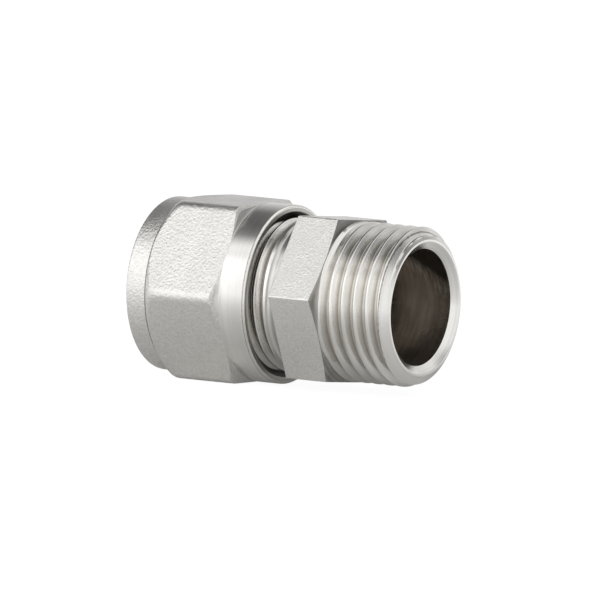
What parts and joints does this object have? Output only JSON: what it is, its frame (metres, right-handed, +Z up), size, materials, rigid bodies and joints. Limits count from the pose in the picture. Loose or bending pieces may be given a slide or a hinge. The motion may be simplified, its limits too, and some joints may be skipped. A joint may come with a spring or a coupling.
{
  "type": "compression coupling",
  "caption": "Straight compression coupling: hexagonal nut and split ring grip a pipe on a grooved stem, with a parallel male thread at the other end.",
  "frame": {"origin": "under the middle of the coupling's length, on the surface that the nut's front collar rests on", "axes": "X along the coupling, male thread toward +X and pipe side toward -X; +Z up; the nut's flats lie level above and below the axis"},
  "size_m": [0.0384, 0.026, 0.0232],
  "materials": {
    "plated_body": "nickel-plated brass: blasted hexagon, turned threads and faces",
    "plated_nut": "nickel-plated brass: blasted forging with a turned front collar",
    "ring_brass": "turned bare brass",
    "seal_rubber": "smooth black rubber",
    "washer_plastic": "white fluoropolymer"
  },
  "bodies": {
    "fitting": {"fitting_body": "plated_body", "outer_seal_ring": "seal_rubber", "inner_seal_ring": "seal_rubber", "insulating_washer": "washer_plastic"},
    "ring": {"compression_ring": "ring_brass"},
    "nut": {"compression_nut": "plated_nut"}
  },
  "joints": [
    {"name": "ring_travel", "type": "slide", "parent": "fitting", "child": "ring", "axis": [1, 0, 0], "range_m": [-0.0065, 0.0015]},
    {"name": "nut_turn", "type": "hinge", "parent": "ring", "child": "nut", "pos_m": [-0.01015, 0, 0.0116], "axis": [1, 0, 0], "range_deg": [-1559, 359]}
  ],
  "couplings": [
    {"joint": "ring_travel", "follows": "nut_turn", "m_per_rad": 0.00023873}
  ]
}
